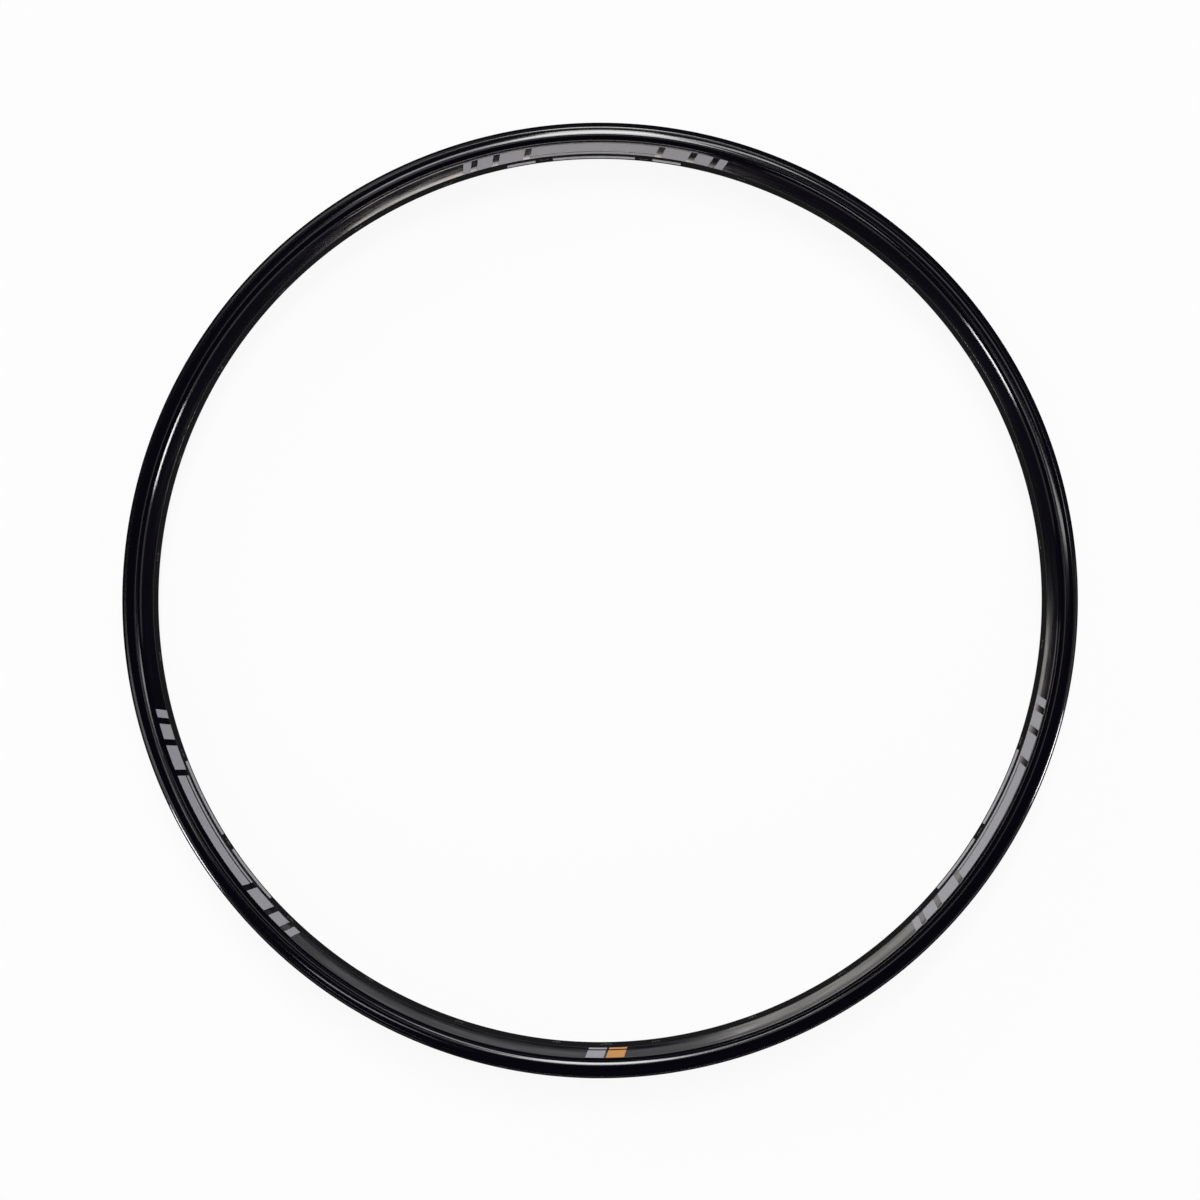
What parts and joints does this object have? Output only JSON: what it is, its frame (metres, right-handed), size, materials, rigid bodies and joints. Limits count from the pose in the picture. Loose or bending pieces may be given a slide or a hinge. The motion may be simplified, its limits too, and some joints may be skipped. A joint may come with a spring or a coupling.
{
  "type": "bicycle rim",
  "caption": "Hollow moulded mountain-bike rim with bead flanges, drop-centre tyre bed, drilled spoke bed, a valve hole and plain film graphics.",
  "frame": {"origin": "wheel centre, on the rim's mid-plane", "axes": "+Z along the axle, out of the side with the graphics; -Y towards the valve hole"},
  "size_m": [0.6334, 0.6334, 0.038],
  "materials": {
    "laminate": "moulded carbon-fibre laminate, black, glossy flange and satin sidewall",
    "grey_film": "satin grey film",
    "orange_film": "satin orange film"
  },
  "bodies": {
    "root": {"rim": "laminate", "decal_top": "grey_film", "decal_left": "grey_film", "decal_right": "grey_film", "badge_grey": "grey_film", "badge_orange": "orange_film"}
  },
  "joints": []
}
